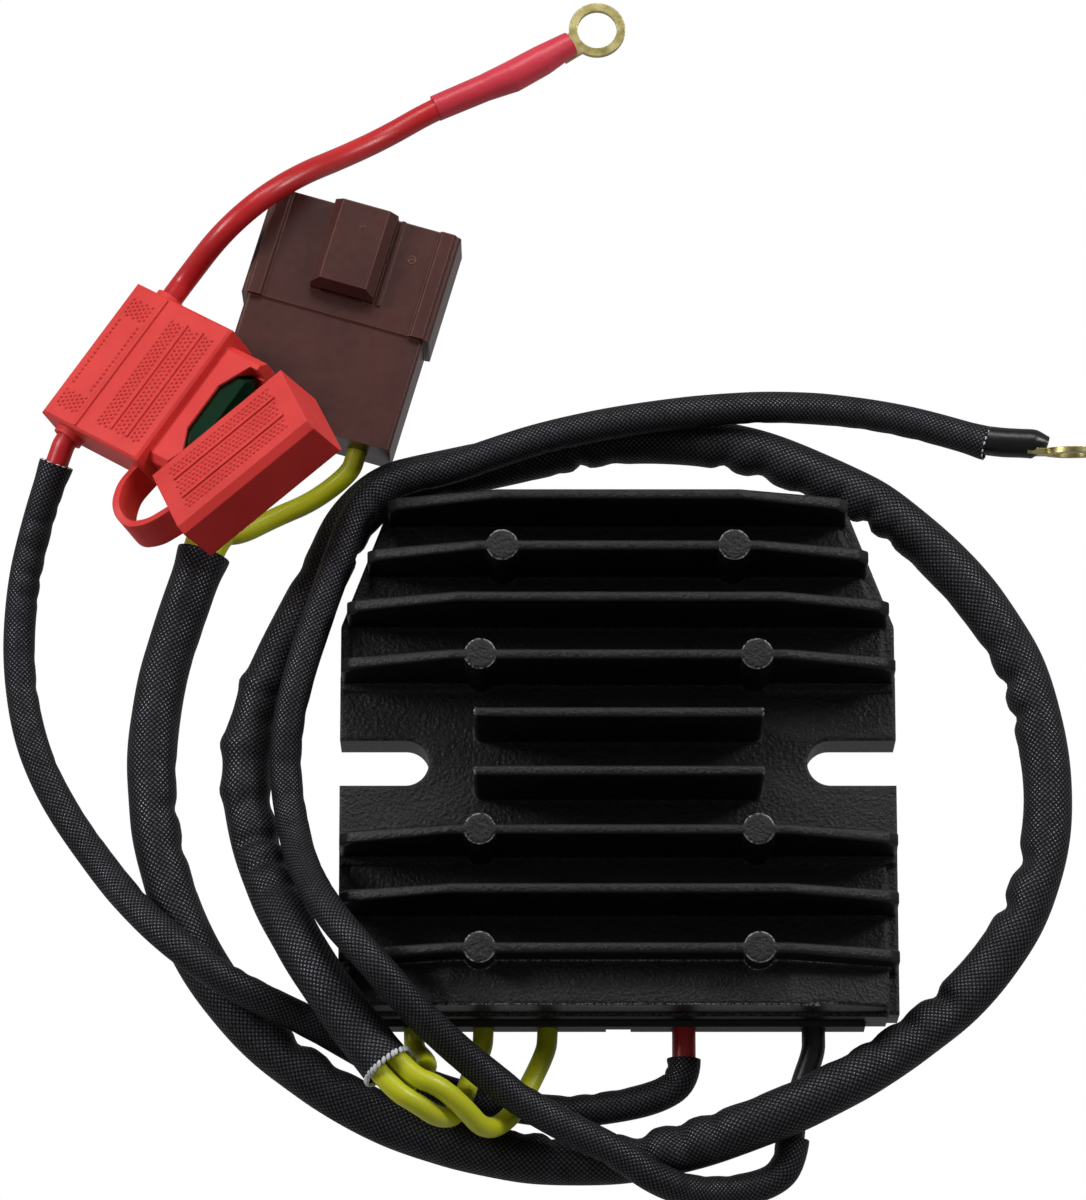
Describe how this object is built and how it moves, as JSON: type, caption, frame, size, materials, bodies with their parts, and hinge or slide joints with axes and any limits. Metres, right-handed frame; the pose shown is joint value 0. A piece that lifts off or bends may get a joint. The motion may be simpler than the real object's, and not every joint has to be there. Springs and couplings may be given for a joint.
{
  "type": "voltage regulator rectifier",
  "caption": "Finned regulator rectifier with a slotted mounting base, sleeved wire leads, a three-way connector, a blade-fuse holder and ring terminals.",
  "frame": {"origin": "centre of the housing's mounting face; the part lies on z = 0", "axes": "+Z out of the mounting face along the fin height, +X along the fins, -Y out of the side where the wires leave"},
  "size_m": [0.1902, 0.2169, 0.037],
  "materials": {
    "black_coated_aluminium": "black baked coating with a fine cast texture",
    "grey_brown_plastic": "matt moulded plastic",
    "epoxy_potting": "poured and cured epoxy",
    "thermal_pad": "soft pad",
    "device_epoxy": "moulded package",
    "circuit_board": "green solder mask",
    "braided_sleeve": "black braid of plastic filament",
    "yellow_insulation": "smooth soft insulation",
    "red_insulation": "smooth soft insulation",
    "black_insulation": "smooth soft insulation",
    "brown_nylon": "semi-gloss moulded nylon",
    "tinned_metal": "tin plated",
    "red_soft_plastic": "soft satin plastic",
    "fuse_plastic": "clear dark green plastic",
    "pink_heat_shrink": "satin heat-shrink tube",
    "black_heat_shrink": "satin heat-shrink tube",
    "plated_brass": "dull yellow plating"
  },
  "bodies": {
    "root": {"battery_heat_shrink": "pink_heat_shrink", "battery_ring_terminal": "plated_brass", "battery_wire": "red_insulation", "circuit_board": "circuit_board", "connector_terminal_1": "tinned_metal", "connector_terminal_2": "tinned_metal", "connector_terminal_3": "tinned_metal", "control_chip": "device_epoxy", "fuse_body": "fuse_plastic", "fuse_clip_1": "tinned_metal", "fuse_clip_2": "tinned_metal", "fuse_element": "tinned_metal", "fuse_holder": "red_soft_plastic", "ground_heat_shrink": "black_heat_shrink", "ground_ring_terminal": "plated_brass", "ground_sleeve": "braided_sleeve", "ground_wire": "black_insulation", "heatsink_housing": "black_coated_aluminium", "plug_wire_1": "yellow_insulation", "plug_wire_2": "yellow_insulation", "plug_wire_3": "yellow_insulation", "positive_sleeve": "braided_sleeve", "positive_wire": "red_insulation", "positive_wire_end": "red_insulation", "potting_compound": "epoxy_potting", "power_device_1": "device_epoxy", "power_device_2": "device_epoxy", "power_device_3": "device_epoxy", "power_device_4": "device_epoxy", "power_device_5": "device_epoxy", "power_device_6": "device_epoxy", "smoothing_capacitor": "device_epoxy", "stator_connector": "brown_nylon", "stator_sleeve": "braided_sleeve", "stator_wire_1": "yellow_insulation", "stator_wire_2": "yellow_insulation", "stator_wire_3": "yellow_insulation", "thermal_pad": "thermal_pad", "wire_guide": "grey_brown_plastic"}
  },
  "joints": []
}
